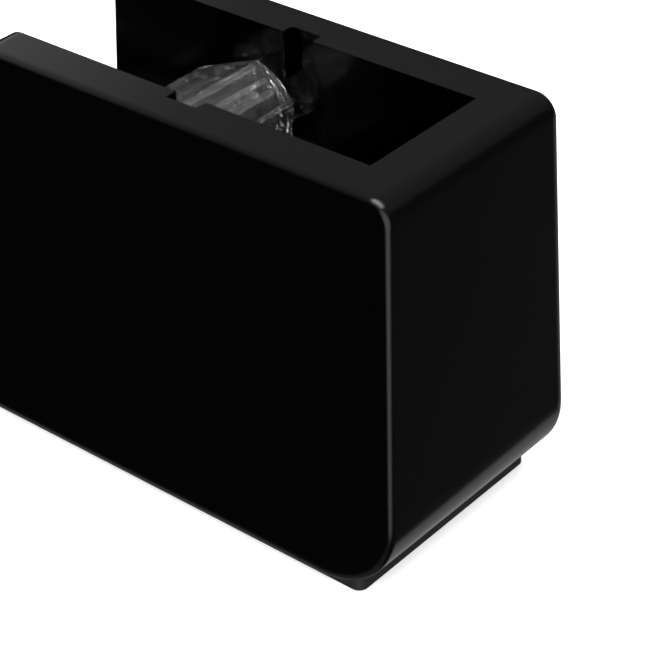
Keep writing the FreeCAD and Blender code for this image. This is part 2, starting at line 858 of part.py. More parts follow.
def cutter_blade():
    body = new_body("cutter_blade")
    plate = rectangle(body, "blade_outline", "XY_Plane",
                      "-blade_half", "blade_half", "-blade_front", "-blade_start")
    pad(body, "blade_sheet", plate, "blade_thickness", "Up")
    for side, across in both_sides("rivet_across"):
        drill(body, f"blade_hole_{side}", "XY_Plane", across, "-rivet_setback",
              "rivet_radius + screw_play", "blade_thickness")
    notch = outline(body, "notch_outline", "XY_Plane", [
        ("-blade_half", "-blade_front"),
        ("-blade_half + tooth_pitch", "-blade_front"),
        ("-blade_half + tooth_pitch / 2", "-blade_front + tooth_depth"),
    ])
    first = pocket(body, "notch", notch, "blade_thickness")
    repeat_across(body, "notch_row", first, "2 * blade_half - tooth_pitch",
                  "round(2 * blade_half / tooth_pitch)")
    lay_on_slope(body, "0", "0")
    return body


def blade_rivets():
    rivets = []
    for side, across in both_sides("rivet_across"):
        one = turned(f"blade_rivet_{side}", [
            ("0", "-rivet_length"),
            ("rivet_radius", "-rivet_length"),
            ("rivet_radius", "blade_thickness"),
            ("rivet_head_radius", "blade_thickness"),
            ("rivet_head_radius", "blade_thickness + rivet_head_height / 2"),
            ("rivet_radius", "blade_thickness + rivet_head_height"),
            ("0", "blade_thickness + rivet_head_height"),
        ])
        lay_on_slope(one, across, "rivet_setback")
        rivets.append(one)
    return group("blade_rivets", rivets)


def tape_rest():
    body = new_body("tape_rest_block")
    half = "(well_width / 2 - fit_gap)"
    sketch = rectangle(body, "rest_outline", "XY_Plane", f"-{half}", half, "-rest_length", "0")
    pad(body, "rest_pad", sketch, "rest_height", "Up")
    top_edges = through(along_x, [(None, "0", "rest_height"), (None, "-rest_length", "rest_height")])
    finish_edges(body, "Fillet", "rest_edge_round", top_edges, "rest_edge_radius")
    ridge = rectangle(body, "ridge_outline", "XY_Plane",
                      "-(ridge_run + ridge_width) / 2", "-(ridge_run - ridge_width) / 2",
                      "-rest_length + rest_edge_radius", "-rest_edge_radius", "rest_height")
    first = pad(body, "ridge", ridge, "ridge_height", "Up")
    repeat_across(body, "ridge_row", first, "ridge_run", "ridge_count")
    pegs = [cylinder(f"peg_{side}", "peg_radius", "floor_thickness + 0.5",
                     across, "-rest_length / 2", "-floor_thickness")
            for side, across in both_sides("peg_across")]
    rest = join("tape_rest", [body] + pegs)
    place(rest, "0", "rest_setback", "channel_floor")
    return rest


# Hub. Both halves are built about Z and then laid along X.

def lay_across(thing):
    thing.Placement.Rotation = FreeCAD.Rotation(along_y, 90)
    place(thing, "0", "hub_setback", "hub_height")


def clipped_triangle(name, radius, flat, low, length):
    """A three-sided prism whose corners are clipped by a cylinder."""
    prism = doc.addObject("Part::Prism", f"{name}_prism")
    prism.Polygon = 3
    bind(prism, "Circumradius", f"2 * ({flat})")
    bind(prism, "Height", length)
    bind(prism, "Placement.Base.z", low)
    bind(prism, "Placement.Rotation.Angle", "hub_turn")
    common = doc.addObject("Part::Common", name)
    common.Base = cylinder(f"{name}_clip", radius, length, z=low)
    common.Tool = prism
    return common


def drum_land(number, low):
    """One of the three curved lands that the core sits on, with the web under it."""
    turn = f"(hub_turn + {120 * number})"
    sector = doc.addObject("Part::Cylinder", f"land_sector_{number}")
    bind(sector, "Radius", "hub_radius")
    bind(sector, "Height", "hub_width")
    bind(sector, "Angle", "land_angle")
    bind(sector, "Placement.Base.z", low)
    bind(sector, "Placement.Rotation.Angle", f"{turn} - land_angle / 2")
    bore = cylinder(f"land_bore_{number}", "hub_radius - land_thickness", "hub_width + 2", z=f"{low} - 1")
    web = doc.addObject("Part::Box", f"land_web_{number}")
    bind(web, "Length", "hub_radius - hub_skin / 2")
    bind(web, "Width", "hub_web")
    bind(web, "Height", "hub_width")
    bind(web, "Placement.Rotation.Angle", turn)
    shift(web, f"hub_web / 2 * sin({turn})", f"-hub_web / 2 * cos({turn})", low)
    return [cut(f"land_{number}", sector, bore), web]


def hub_drum():
    """A skin with recessed flats, lands and webs, closed by a plate that runs from land to land."""
    low = "-hub_width / 2"
    outer = clipped_triangle("drum_outer", "hub_radius", "hub_flat", low, "hub_width")
    hollow = clipped_triangle("drum_hollow", "hub_radius - hub_skin", "hub_flat - hub_skin",
                              f"{low} + hub_bore_floor", "hub_width")
    chord = "hub_radius * cos(60 - land_angle / 2)"
    plate = clipped_triangle("drum_plate", "hub_radius", chord, low, "hub_bore_floor")
    solids = [cut("drum_skin", outer, hollow), plate]
    for number in range(3):
        solids += drum_land(number, low)
    solids.append(cylinder("drum_tube", "hub_tube_radius", "hub_width", z=low))
    solids.append(cylinder("drum_shoulder", "hub_tube_radius", "hub_shoulder", z="-hub_shoulder"))
    solids.append(cylinder("drum_axle", "axle_radius", "hub_reach", z="-hub_reach"))
    bore = cylinder("drum_bore", "hub_bore_radius", "hub_width", z=f"{low} + hub_bore_floor")
    drum = cut("hub_drum", join("drum_solids", solids), bore)
    lay_across(drum)
    return drum


def hub_cap():
    face = "hub_width / 2"
    cap = join("hub_cap", [
        cylinder("cap_disc", "hub_flat - cap_disc_inset", "cap_disc_thickness", z=face),
        cylinder("cap_shoulder", "hub_tube_radius", f"hub_shoulder - {face}", z=face),
        cylinder("cap_axle", "axle_radius", f"hub_reach - {face}", z=face),
        cylinder("cap_spigot", "hub_bore_radius - spigot_clearance", "spigot_length + 0.5",
                 z=f"{face} - spigot_length"),
    ])
    lay_across(cap)
    return cap


# Drawer

def tray_tub():
    body = new_body("tray_tub")
    outer = rectangle(body, "tray_outline", "XY_Plane", "-tray_half", "tray_half", "-tray_length", "0")
    pad(body, "tray_pad", outer, "tray_height", "Up")
    rear_corners = through(along_z, [(None, "0", None)])
    finish_edges(body, "Fillet", "tray_corner_round", rear_corners, "tray_corner_radius")
    inner = rectangle(body, "tray_inside_outline", "XY_Plane", "-tray_inner_half", "tray_inner_half",
                      "-tray_length + tray_wall", "-tray_wall", "tray_wall")
    pocket(body, "tray_inside", inner, "tray_height")
    notch = rectangle(body, "tray_notch_outline", "XZ_Plane", "-notch_width / 2", "notch_width / 2",
                      "notch_foot - tray_base", "tray_height + 1", "tray_length - tray_wall - 1")
    pocket(body, "tray_notch", notch, "tray_wall + 2")
    return body


def drawer_tray():
    """The tray with its runners, its stop tabs and the guides for its divider."""
    solids = [tray_tub()]
    solids += block_pair("tray_runner", "tray_half - tray_wall / 2", "tray_half + runner_reach",
                         "tray_corner_radius", "tray_length - runner_front_gap",
                         "runner_base - tray_base", "runner_base + runner_height - tray_base")
    tab_rear = "(body_length - wall - tab_stop_gap - drawer_travel - tab_length - tray_rear)"
    solids += block_pair("tray_tab", "tray_inner_half", "tray_half", tab_rear, f"{tab_rear} + tab_length",
                         "tray_height - 1", "roof - tab_roof_gap - tray_base")
    gap_half = "(divider_thickness / 2 + divider_play)"
    guides = {
        "rear": (f"divider_middle - {gap_half} - guide_width", f"divider_middle - {gap_half}"),
        "front": (f"divider_middle + {gap_half}", f"divider_middle + {gap_half} + guide_width"),
    }
    for end, (rear, front) in guides.items():
        solids += block_pair(f"guide_{end}", "tray_inner_half - guide_reach", "tray_half - tray_wall / 2",
                             rear, front, "tray_wall / 2", "tray_wall + divider_height")
    holes = []
    for side, across in both_sides("fascia_screw_across"):
        hole = cylinder(f"tray_screw_hole_{side}", "hole_radius", "tray_wall + 2")
        hole.Placement.Rotation = FreeCAD.Rotation(along_x, 90)
        shift(hole, across, "-tray_length + tray_wall + 1", "fascia_screw_height")
        holes.append(hole)
    tray = cut("drawer_tray", join("tray_solids", solids), join("tray_holes", holes))
    place(tray, "0", "tray_rear", "tray_base")
    return tray


def drawer_front():
    body = new_body("drawer_front")
    half = "(opening_half - drawer_play)"
    low = "drawer_play"
    high = "(opening_height - drawer_play)"
    notch_half = "notch_width / 2"
    face = outline(body, "fascia_outline", "XZ_Plane", [
        (f"-{half}", low),
        (half, low),
        (half, high),
        (notch_half, high),
        (notch_half, "notch_foot"),
        (f"-{notch_half}", "notch_foot"),
        (f"-{notch_half}", high),
        (f"-{half}", high),
    ])
    pad(body, "fascia_pad", face, "fascia_thickness", "Up")
    notch_corners = [(f"-{notch_half}", None, "notch_foot"), (notch_half, None, "notch_foot")]
    finish_edges(body, "Fillet", "fascia_notch_round", through(along_y, notch_corners), "notch_radius")
    for side, across in both_sides("fascia_screw_across"):
        up = "tray_base + fascia_screw_height"
        depth = "fascia_screw_length - screw_head_height - tray_wall + screw_tip_gap"
        drill(body, f"fascia_hole_{side}", "XZ_Plane", across, up, "hole_radius", depth)
    place(body, "0", "tray_front", "0")
    return body


def drawer_divider():
    body = new_body("drawer_divider")
    half = "(tray_inner_half - divider_play)"
    sketch = rectangle(body, "divider_outline", "XZ_Plane", f"-{half}", half, "0", "divider_height")
    pad(body, "divider_plate", sketch, "divider_thickness")
    top_corners = through(along_y, [(None, None, "divider_height")])
    finish_edges(body, "Fillet", "divider_corner_round", top_corners, "divider_corner_radius")
    place(body, "0", "tray_rear + divider_middle", "tray_base + tray_wall")
    return body


def drawer_rail(side, sign):
    """A bar with a groove along its inner face, which carries the drawer's runner."""
    body = new_body(f"drawer_rail_{side}")
    near = f"{sign} * (rail_near)"
    far = f"{sign} * (rail_near + rail_width)"
    groove = f"{sign} * (rail_near + rail_groove_depth)"
    section = outline(body, f"rail_{side}_section", "XZ_Plane", [
        (near, "0"),
        (far, "0"),
        (far, "rail_height"),
        (near, "rail_height"),
        (near, "groove_high - plug_height"),
        (groove, "groove_high - plug_height"),
        (groove, "groove_low - plug_height"),
        (near, "groove_low - plug_height"),
    ])
    pad(body, f"rail_{side}_pad", section, "rail_length", "Up")
    middle = f"{sign} * (rail_near + rail_width / 2)"
    depth = "rail_screw_length + pad_top - plug_height + screw_play"
    for end, setback in (("rear", "rail_screw_inset"), ("front", "(rail_length - rail_screw_inset)")):
        drill(body, f"rail_{side}_hole_{end}", "XY_Plane", middle, f"-{setback}", "hole_radius", depth)
    place(body, "0", "rail_rear", "plug_height")
    return body


nodes = [
    housing(),
    base_plate(),
    screw_group("base_screws", boss_places(), "screw_length"),
    non_slip_pad(),
    ballast_block(),
    screw_group("ballast_screws", ballast_screw_places(), "screw_length"),
    blade_carrier(),
    carrier_screws(),
    cutter_blade(),
    blade_rivets(),
    tape_rest(),
    hub_drum(),
    hub_cap(),
    drawer_tray(),
    drawer_front(),
    drawer_front_screws(),
    drawer_divider(),
    drawer_rail("left", "-1"),
    drawer_rail("right", "1"),
    screw_group("rail_screws", rail_screw_places(), "rail_screw_length"),
]
doc.recompute()

for thing in doc.Objects:
    if "Invalid" in thing.State or "Error" in thing.State:
        raise RuntimeError(f"{thing.Name} failed: {thing.State}")
for node in nodes:
    if node.Shape.isNull() or not node.Shape.isValid():
        raise RuntimeError(f"{node.Label} has no valid shape")

os.makedirs("parts", exist_ok=True)
for node in nodes:
    node.Shape.exportStep(f"parts/{node.Label}.step")
    print(node.Label, len(node.Shape.Solids), round(node.Shape.Volume, 1))
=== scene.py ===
from math import radians

import bpy
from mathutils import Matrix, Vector


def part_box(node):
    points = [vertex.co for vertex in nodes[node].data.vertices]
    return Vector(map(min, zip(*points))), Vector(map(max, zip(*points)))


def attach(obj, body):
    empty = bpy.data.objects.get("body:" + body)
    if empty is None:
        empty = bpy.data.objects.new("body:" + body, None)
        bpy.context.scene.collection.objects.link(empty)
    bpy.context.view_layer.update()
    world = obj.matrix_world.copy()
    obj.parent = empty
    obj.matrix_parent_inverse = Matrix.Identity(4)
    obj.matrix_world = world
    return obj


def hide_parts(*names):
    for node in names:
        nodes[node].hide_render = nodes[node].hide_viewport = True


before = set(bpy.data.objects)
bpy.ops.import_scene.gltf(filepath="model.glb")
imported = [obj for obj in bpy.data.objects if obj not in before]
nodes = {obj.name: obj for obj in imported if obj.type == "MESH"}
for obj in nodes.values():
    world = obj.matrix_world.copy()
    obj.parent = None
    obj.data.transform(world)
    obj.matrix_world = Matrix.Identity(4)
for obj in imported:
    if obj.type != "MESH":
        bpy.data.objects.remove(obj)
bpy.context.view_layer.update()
print("frame loaded:", len(nodes), "nodes")

mm = 0.001
close = 0.01  # millimetres within which two places are the same


# Colours and nodes

def linear(hexColour):
    # sRGB hex to the linear values that the shaders use
    parts = [int(hexColour[i:i + 2], 16) / 255 for i in (1, 3, 5)]
    return [p / 12.92 if p <= 0.04045 else ((p + 0.055) / 1.055) ** 2.4 for p in parts] + [1]


def addNode(tree, kind, settings=None, links=None):
    # settings that are sockets go by name or number, the rest are the node's own properties
    node = tree.nodes.new(kind)
    for name, wanted in (settings or {}).items():
        if isinstance(name, int) or name in node.inputs:
            node.inputs[name].default_value = wanted
        else:
            setattr(node, name, wanted)
    join(tree, node, links or {})
    return node


def join(tree, node, links):
    for socket, source in links.items():
        tree.links.new(source, node.inputs[socket])


def startMaterial(name, shaderSettings):
    material = bpy.data.materials.new(name)
    material.use_nodes = True
    tree = material.node_tree
    shader = tree.nodes["Principled BSDF"]
    for socket, wanted in shaderSettings.items():
        shader.inputs[socket].default_value = wanted
    place = addNode(tree, "ShaderNodeTexCoord").outputs["Object"]
    return material, tree, shader, place


# Materials. A pattern's scale is 1000 / its real size in millimetres, as the shaders count in metres.

def polishedAbs():
    # ABS moulded against a polished tool: deep black, a soft gloss, faint orange peel,
    # edges rounded a little by the tool, and fine dust on the faces that look up
    material, tree, shader, place = startMaterial("polishedMouldedAbs", {"IOR": 1.53})
    # orange peel in 6 mm waves, haze in 22 mm clouds, dust in 0.5 mm specks, which is coarser
    # than real dust so that it shows
    peel = addNode(tree, "ShaderNodeTexNoise", {"Scale": 1000 / 6, "Detail": 2.0}, {"Vector": place})
    haze = addNode(tree, "ShaderNodeTexNoise", {"Scale": 1000 / 22, "Detail": 6.0, "Roughness": 0.7},
                   {"Vector": place})
    specks = addNode(tree, "ShaderNodeTexNoise", {"Scale": 1000 / 0.5, "Detail": 3.0}, {"Vector": place})
    facing = addNode(tree, "ShaderNodeSeparateXYZ", links={
        "Vector": addNode(tree, "ShaderNodeNewGeometry").outputs["Normal"]})
    upward = addNode(tree, "ShaderNodeMapRange", {"From Min": 0.5}, {"Value": facing.outputs["Z"]})
    dust = addNode(tree, "ShaderNodeMath", {"operation": "MULTIPLY"},
                   {0: upward.outputs["Result"], 1: specks.outputs["Fac"]})
    colour = addNode(tree, "ShaderNodeMix",
                     {"data_type": "RGBA", "A": linear("#010101"), "B": linear("#0B0B0B")},
                     {"Factor": dust.outputs["Value"]})
    rough = addNode(tree, "ShaderNodeMapRange",
                    {"From Min": 0.3, "From Max": 0.7, "To Min": 0.1, "To Max": 0.17},
                    {"Value": haze.outputs["Fac"]})
    # the tool leaves the outer edges softer than those of the well and slots, which lie within
    # 17 mm of the middle
    spot = addNode(tree, "ShaderNodeSeparateXYZ", links={"Vector": place})
    across = addNode(tree, "ShaderNodeMath", {"operation": "ABSOLUTE"}, {0: spot.outputs["X"]})
    eased = addNode(tree, "ShaderNodeMapRange",
                    {"From Min": 17 * mm, "From Max": 18 * mm, "To Min": 0.25 * mm, "To Max": 1.7 * mm},
                    {"Value": across.outputs["Value"]})
    soft = addNode(tree, "ShaderNodeBevel", {"samples": 10}, {"Radius": eased.outputs["Result"]})
    bump = addNode(tree, "ShaderNodeBump", {"Strength": 0.12, "Distance": 0.02 * mm},
                   {"Height": peel.outputs["Fac"], "Normal": soft.outputs["Normal"]})
    join(tree, shader, {"Base Color": colour.outputs["Result"], "Roughness": rough.outputs["Result"],
                        "Normal": bump.outputs["Normal"]})
    return material


def sparkErodedAbs():
    # ABS moulded against a spark-eroded tool: black with an even, fine, dull grain
    material, tree, shader, place = startMaterial("sparkErodedAbs", {"IOR": 1.53, "Specular IOR Level": 0.35})
    grain = addNode(tree, "ShaderNodeTexNoise", {"Scale": 1000 / 0.3, "Detail": 4.0, "Roughness": 0.6},
                    {"Vector": place})
    haze = addNode(tree, "ShaderNodeTexNoise", {"Scale": 1000 / 15, "Detail": 4.0}, {"Vector": place})
    colour = addNode(tree, "ShaderNodeMix",
                     {"data_type": "RGBA", "A": linear("#161617"), "B": linear("#232324")},
                     {"Factor": haze.outputs["Fac"]})
    rough = addNode(tree, "ShaderNodeMapRange", {"To Min": 0.48, "To Max": 0.66},
                    {"Value": grain.outputs["Fac"]})
    soft = addNode(tree, "ShaderNodeBevel", {"samples": 6, "Radius": 0.3 * mm})
    bump = addNode(tree, "ShaderNodeBump", {"Strength": 0.35, "Distance": 0.03 * mm},
                   {"Height": grain.outputs["Fac"], "Normal": soft.outputs["Normal"]})
    join(tree, shader, {"Base Color": colour.outputs["Result"], "Roughness": rough.outputs["Result"],
                        "Normal": bump.outputs["Normal"]})
    return material


def clearPolystyrene():
    # crystal polystyrene, moulded clear: bright edges, a faint waviness from the melt's flow,
    # and a dull bloom where cores of tape have rubbed
    material, tree, shader, place = startMaterial("clearMouldedPolystyrene", {
        "Base Color": linear("#F6F6F6"), "IOR": 1.59})
    # the flow runs along the hub's axle, so its 2.6 mm waves are drawn out that way
    flow = addNode(tree, "ShaderNodeMapping", {"Scale": (0.3, 1.0, 1.0)}, {"Vector": place})
    wave = addNode(tree, "ShaderNodeTexNoise", {"Scale": 1000 / 2.6, "Detail": 1.5},
                   {"Vector": flow.outputs["Vector"]})
    scuff = addNode(tree, "ShaderNodeTexNoise", {"Scale": 1000 / 3, "Detail": 7.0, "Roughness": 0.75},
                    {"Vector": place})
    rough = addNode(tree, "ShaderNodeMapRange",
                    {"From Min": 0.35, "From Max": 0.65, "To Min": 0.02, "To Max": 0.09},
                    {"Value": scuff.outputs["Fac"]})
    clear = addNode(tree, "ShaderNodeMapRange",
                    {"From Min": 0.3, "From Max": 0.7, "To Min": 1.0, "To Max": 0.97},
                    {"Value": scuff.outputs["Fac"]})
    bump = addNode(tree, "ShaderNodeBump", {"Strength": 0.9, "Distance": 0.45 * mm},
                   {"Height": wave.outputs["Fac"]})
    join(tree, shader, {"Roughness": rough.outputs["Result"], "Normal": bump.outputs["Normal"],
                        "Transmission Weight": clear.outputs["Result"]})
    return material


def rolledSteel():
    # hardened strip steel: bright, with fine rolling lines across the blade
    material, tree, shader, place = startMaterial("rolledStripSteel", {
        "Base Color": linear("#C9CBCE"), "Metallic": 1.0})
    lines = addNode(tree, "ShaderNodeMapping", {"Scale": (0.03, 1.0, 1.0)}, {"Vector": place})
    grain = addNode(tree, "ShaderNodeTexNoise", {"Scale": 1000 / 0.25, "Detail": 4.0},
                    {"Vector": lines.outputs["Vector"]})
    rough = addNode(tree, "ShaderNodeMapRange", {"To Min": 0.2, "To Max": 0.42},
                    {"Value": grain.outputs["Fac"]})
    bump = addNode(tree, "ShaderNodeBump", {"Strength": 0.2, "Distance": 0.02 * mm},
                   {"Height": grain.outputs["Fac"]})
    join(tree, shader, {"Roughness": rough.outputs["Result"], "Normal": bump.outputs["Normal"]})
    return material


def zincPlatedSteel():
    # zinc-plated screws and rivets: pale grey metal with a cloudy bloom
    material, tree, shader, place = startMaterial("zincPlatedSteel", {"Metallic": 1.0})
    cloud = addNode(tree, "ShaderNodeTexNoise", {"Scale": 1000 / 1.5, "Detail": 5.0}, {"Vector": place})
    colour = addNode(tree, "ShaderNodeMix",
                     {"data_type": "RGBA", "A": linear("#A9ACB0"), "B": linear("#C6C8CB")},
                     {"Factor": cloud.outputs["Fac"]})
    rough = addNode(tree, "ShaderNodeMapRange", {"To Min": 0.25, "To Max": 0.45},
                    {"Value": cloud.outputs["Fac"]})
    soft = addNode(tree, "ShaderNodeBevel", {"samples": 4, "Radius": 0.12 * mm})
    join(tree, shader, {"Base Color": colour.outputs["Result"], "Roughness": rough.outputs["Result"],
                        "Normal": soft.outputs["Normal"]})
    return material


def evaFoam():
    # closed-cell EVA foam sheet: dull dark grey, pitted with cut cells 0.6 mm across, with painted shade in
    # the pits
    material, tree, shader, place = startMaterial("cutEvaFoam", {"Specular IOR Level": 0.3})
    cells = addNode(tree, "ShaderNodeTexVoronoi", {"Scale": 1000 / 0.6}, {"Vector": place})
    # painted shade: the colour darkens towards the middle of each cut cell, where the bump is lowest, as
    # shade in the pits would
    colour = addNode(tree, "ShaderNodeMix",
                     {"data_type": "RGBA", "A": linear("#1C1C1E"), "B": linear("#343437")},
                     {"Factor": cells.outputs["Distance"]})
    rough = addNode(tree, "ShaderNodeMapRange", {"To Min": 0.8, "To Max": 0.95},
                    {"Value": cells.outputs["Distance"]})
    bump = addNode(tree, "ShaderNodeBump", {"Strength": 0.6, "Distance": 0.1 * mm},
                   {"Height": cells.outputs["Distance"]})
    join(tree, shader, {"Base Color": colour.outputs["Result"], "Roughness": rough.outputs["Result"],
                        "Normal": bump.outputs["Normal"]})
    return material


def castIron():
    # grey iron as it leaves the sand: dark, dull and grainy
    material, tree, shader, place = startMaterial("sandCastIron", {"Metallic": 0.8})
    sand = addNode(tree, "ShaderNodeTexNoise", {"Scale": 1000 / 0.8, "Detail": 6.0}, {"Vector": place})
    colour = addNode(tree, "ShaderNodeMix",
                     {"data_type": "RGBA", "A": linear("#2E2F31"), "B": linear("#56575A")},
                     {"Factor": sand.outputs["Fac"]})
    rough = addNode(tree, "ShaderNodeMapRange", {"To Min": 0.5, "To Max": 0.8},
                    {"Value": sand.outputs["Fac"]})
    bump = addNode(tree, "ShaderNodeBump", {"Strength": 0.5, "Distance": 0.2 * mm},
                   {"Height": sand.outputs["Fac"]})
    join(tree, shader, {"Base Color": colour.outputs["Result"], "Roughness": rough.outputs["Result"],
                        "Normal": bump.outputs["Normal"]})
    return material


def naturalAcetal():
    # moulded acetal in its natural off-white: waxy, with a faint mottle
    material, tree, shader, place = startMaterial("naturalMouldedAcetal", {"IOR": 1.48})
    mottle = addNode(tree, "ShaderNodeTexNoise", {"Scale": 1000 / 4, "Detail": 4.0}, {"Vector": place})
    colour = addNode(tree, "ShaderNodeMix",
                     {"data_type": "RGBA", "A": linear("#DEDCD3"), "B": linear("#EDEBE4")},
                     {"Factor": mottle.outputs["Fac"]})
    rough = addNode(tree, "ShaderNodeMapRange", {"To Min": 0.35, "To Max": 0.5},
                    {"Value": mottle.outputs["Fac"]})
    join(tree, shader, {"Base Color": colour.outputs["Result"], "Roughness": rough.outputs["Result"]})
    return material


glossBlack = polishedAbs()
mattBlack = sparkErodedAbs()
clearPlastic = clearPolystyrene()
bladeSteel = rolledSteel()
screwSteel = zincPlatedSteel()
padFoam = evaFoam()
ballastIron = castIron()
railAcetal = naturalAcetal()

finishes = {
    glossBlack: ["housing", "blade_carrier", "drawer_front"],
    mattBlack: ["base_plate", "tape_rest", "drawer_tray", "drawer_divider"],
    clearPlastic: ["hub_drum", "hub_cap"],
    bladeSteel: ["cutter_blade"],
    screwSteel: ["base_screws", "ballast_screws", "carrier_screws", "blade_rivets",
                 "drawer_front_screws", "rail_screws"],
    padFoam: ["non_slip_pad"],
    ballastIron: ["ballast_block"],
    railAcetal: ["drawer_rail_left", "drawer_rail_right"],
}
for material, names in finishes.items():
    for name in names:
        for slot in nodes[name].material_slots:
            slot.material = material
print("materials given to the solids")


# Steps that the pieces share

def take(piece):
    # only this object is selected and active
    bpy.ops.object.select_all(action="DESELECT")
    piece.select_set(True)
    bpy.context.view_layer.objects.active = piece


def pick(piece, wanted):
    # in edit mode, the vertices whose place passes the test are selected, and what they join
    bpy.ops.object.mode_set(mode="OBJECT")
    for face in piece.data.polygons:
        face.select = False
    for edge in piece.data.edges:
        edge.select = False
    for vertex in piece.data.vertices:
        vertex.select = wanted(vertex.co / mm)
    bpy.ops.object.mode_set(mode="EDIT")


def applied(piece, kind, settings):
    # a modifier, added and applied
    modifier = piece.modifiers.new("finish", kind)
    for name, wanted in settings.items():
        setattr(modifier, name, wanted)
    bpy.ops.object.modifier_apply(modifier=modifier.name)


def startPlane(name, centre, size, turn=(0, 0, 0)):
    # a flat sheet in edit mode, at its size and place in millimetres
    bpy.ops.object.select_all(action="DESELECT")
    bpy.ops.mesh.primitive_plane_add(size=1, location=Vector(centre) * mm, rotation=turn)
    piece = bpy.context.object
    piece.name = name
    bpy.ops.object.transform_apply(location=True, rotation=True, scale=True)
    bpy.ops.object.mode_set(mode="EDIT")
    bpy.ops.mesh.select_mode(type="VERT")
    bpy.ops.mesh.select_all(action="SELECT")
    bpy.ops.transform.resize(value=[side * mm for side in size], center_override=Vector(centre) * mm)
    return piece


# The hub's two halves, in millimetres and degrees

hubEdges = {
    "merge": 0.005,  # corners nearer than this become one
    "flat": 0.5,  # faces that meet at less than this become one
    "sharp": 30,  # edges that turn by more than this are rounded
    "edgeRadius": 0.2, "edgeSteps": 2,
}


def roundedCopy(name, node, sizes):
    # the node's mesh, merged, its flat faces made whole and its edges rounded
    piece = bpy.data.objects.new(name, nodes[node].data.copy())
    bpy.context.scene.collection.objects.link(piece)
    take(piece)
    bpy.ops.object.mode_set(mode="EDIT")
    bpy.ops.mesh.select_all(action="SELECT")
    bpy.ops.mesh.remove_doubles(threshold=sizes["merge"] * mm)
    bpy.ops.mesh.dissolve_limited(angle_limit=radians(sizes["flat"]))
    bpy.ops.object.mode_set(mode="OBJECT")
    applied(piece, "BEVEL", {"width": sizes["edgeRadius"] * mm, "segments": sizes["edgeSteps"],
                             "limit_method": "ANGLE", "angle_limit": radians(sizes["sharp"])})
    bpy.ops.object.shade_smooth_by_angle(angle=radians(sizes["sharp"]))
    applied(piece, "WEIGHTED_NORMAL", {"keep_sharp": True})
    return piece


for name, node in (("clearDrum", "hub_drum"), ("clearCap", "hub_cap")):
    piece = roundedCopy(name, node, hubEdges)
    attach(piece, "hub")
    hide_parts(node)
print("hub's two halves made")


# The blade, in millimetres and degrees. It is made flat, with its teeth towards the front,
# then tipped up at the front and set against the carrier's step.

blade = {
    "width": 26, "length": 14.2, "thickness": 0.6,
    "toothPitch": 1.3, "toothDepth": 1.1, "tipThickness": 0.12,
    "slope": 25,
    "start": 0.8,  # along the slope, from the step to the blade's rear edge
    "stepBack": 2, "stepUp": 4,  # the step's corner, from the carrier's rear face and its foot
}


def groundBlade(sizes):
    # one pitch of the strip with its notch, repeated, thickened, and ground down towards the tips
    pitch = sizes["toothPitch"]
    front = -sizes["start"] - sizes["length"]
    root = front + sizes["toothDepth"]
    across = -sizes["width"] / 2 + pitch / 2
    along = front + sizes["length"] / 2
    piece = startPlane("groundBlade", (across, along, 0), (pitch, sizes["length"], 1))
    bpy.ops.mesh.subdivide(number_cuts=1)
    pick(piece, lambda place: abs(place.y - along) < close)
    bpy.ops.transform.translate(value=(0, (root - along) * mm, 0))
    # the notch: the middle of the front edge goes back to the teeth's root
    pick(piece, lambda place: abs(place.x - across) < close and place.y < root + close)
    bpy.ops.mesh.merge(type="CENTER")
    pick(piece, lambda place: abs(place.x - across) < close and place.y < root + close)
    bpy.ops.transform.translate(value=(0, sizes["toothDepth"] / 2 * mm, 0))
    bpy.ops.object.mode_set(mode="OBJECT")
    applied(piece, "ARRAY", {"count": round(sizes["width"] / pitch), "use_relative_offset": False,
                             "use_constant_offset": True, "constant_offset_displace": (pitch * mm, 0, 0),
                             "use_merge_vertices": True, "merge_threshold": close * mm})
    applied(piece, "SOLIDIFY", {"thickness": sizes["thickness"] * mm, "offset": 1})
    # the grinding: the tips' upper corners come down
    pick(piece, lambda place: place.y < root - close and place.z > sizes["thickness"] / 2)
    bpy.ops.transform.translate(value=(0, 0, (sizes["tipThickness"] - sizes["thickness"]) * mm))
    bpy.ops.mesh.select_all(action="SELECT")
    bpy.ops.mesh.normals_make_consistent(inside=False)
    low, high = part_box("blade_carrier")
    bpy.ops.transform.rotate(value=radians(sizes["slope"]), orient_axis="X", center_override=(0, 0, 0))
    bpy.ops.transform.translate(value=(0, high[1] - sizes["stepBack"] * mm, low[2] + sizes["stepUp"] * mm))
    bpy.ops.object.mode_set(mode="OBJECT")
    bpy.ops.object.shade_flat()
    return piece


piece = groundBlade(blade)
piece.data.materials.append(bladeSteel)
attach(piece, "stand")
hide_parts("cutter_blade")
print("blade made, with", round(blade["width"] / blade["toothPitch"]), "notches")


# The drawer's front, in millimetres and degrees

panel = {
    "notchWidth": 24, "notchDepth": 7, "notchRadius": 3, "notchSteps": 8,
    "cornerRadius": 0.8, "cornerSteps": 4,
    "edgeRadius": 0.5, "edgeSteps": 3,
    "flat": 1,  # faces that meet at less than this become one
    "square": 50,  # edges that turn by more than this are rounded
    "sharp": 40,  # edges that turn by more than this stay sharp in the shading
}


